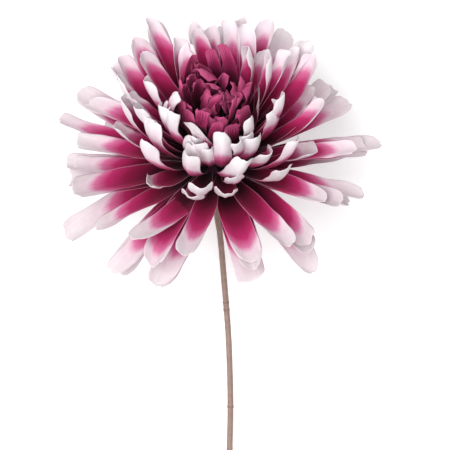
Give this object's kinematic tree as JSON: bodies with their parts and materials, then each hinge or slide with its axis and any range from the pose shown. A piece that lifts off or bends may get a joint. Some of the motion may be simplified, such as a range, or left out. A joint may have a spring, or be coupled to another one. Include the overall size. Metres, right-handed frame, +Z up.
{
  "type": "chrysanthemum bloom on a cut stem",
  "caption": "Large double chrysanthemum bloom, white-tipped magenta petals round a dark wine heart, on a thin cut stem, lying on a surface.",
  "frame": {"origin": "middle of the whole flower's box, on the surface it lies on", "axes": "+Z up from the surface, +Y from the cut end of the stem towards the bloom, +X across"},
  "size_m": [0.1456, 0.2396, 0.1026],
  "materials": {
    "ray_petal": "soft matte petal, magenta at the root and white at the tip",
    "heart_petal": "soft matte dark wine petal",
    "calyx": "matte green scales with paler edges",
    "stem": "matte taupe with small ridges and marks"
  },
  "bodies": {
    "root": {"ray_florets": "ray_petal", "heart_florets": "heart_petal", "involucre": "calyx", "stem": "stem"}
  },
  "joints": []
}
